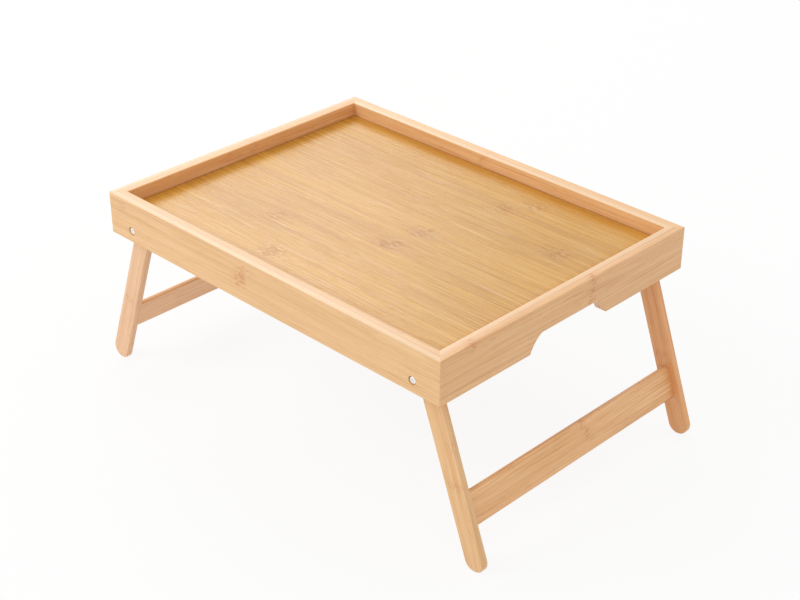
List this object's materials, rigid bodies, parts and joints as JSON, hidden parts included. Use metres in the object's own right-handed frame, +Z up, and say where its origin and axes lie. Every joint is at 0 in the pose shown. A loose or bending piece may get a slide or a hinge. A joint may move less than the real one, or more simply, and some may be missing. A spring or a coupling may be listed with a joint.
{
  "type": "bed tray table",
  "caption": "Folding bamboo tray table for use in bed: a rimmed tray with finger holds on two splayed leg frames that fold flat beneath it.",
  "frame": {"origin": "on the floor, below the middle of the tray, legs open", "axes": "+X along the long rails towards the right leg frame, +Y from the front long rail to the back one, +Z up"},
  "size_m": [0.4704, 0.3, 0.188],
  "materials": {
    "rail_bamboo": "satin clear lacquer",
    "panel_bamboo": "satin clear lacquer",
    "leg_bamboo": "satin clear lacquer",
    "spline_bamboo": "bare wood",
    "zinc_steel": "bright zinc plate",
    "spacer_nylon": "natural moulded nylon"
  },
  "bodies": {
    "tray": {"front_long_rail": "rail_bamboo", "back_long_rail": "rail_bamboo", "left_short_rail": "rail_bamboo", "right_short_rail": "rail_bamboo", "tray_panel": "panel_bamboo", "front_left_spline": "spline_bamboo", "back_left_spline": "spline_bamboo", "front_right_spline": "spline_bamboo", "back_right_spline": "spline_bamboo", "left_pivot_screws": "zinc_steel", "right_pivot_screws": "zinc_steel", "left_spacer_washers": "spacer_nylon", "right_spacer_washers": "spacer_nylon", "left_nut_washers": "zinc_steel", "right_nut_washers": "zinc_steel", "left_cap_nuts": "zinc_steel", "right_cap_nuts": "zinc_steel"},
    "left_leg_frame": {"left_front_leg": "leg_bamboo", "left_back_leg": "leg_bamboo", "left_stretcher": "leg_bamboo"},
    "right_leg_frame": {"right_front_leg": "leg_bamboo", "right_back_leg": "leg_bamboo", "right_stretcher": "leg_bamboo"}
  },
  "joints": [
    {"name": "left_frame_fold", "type": "hinge", "parent": "tray", "child": "left_leg_frame", "pos_m": [-0.171, 0, 0.159], "axis": [0, -1, 0], "range_deg": [0, 110]},
    {"name": "right_frame_fold", "type": "hinge", "parent": "tray", "child": "right_leg_frame", "pos_m": [0.171, 0, 0.159], "axis": [0, 1, 0], "range_deg": [0, 110]}
  ]
}
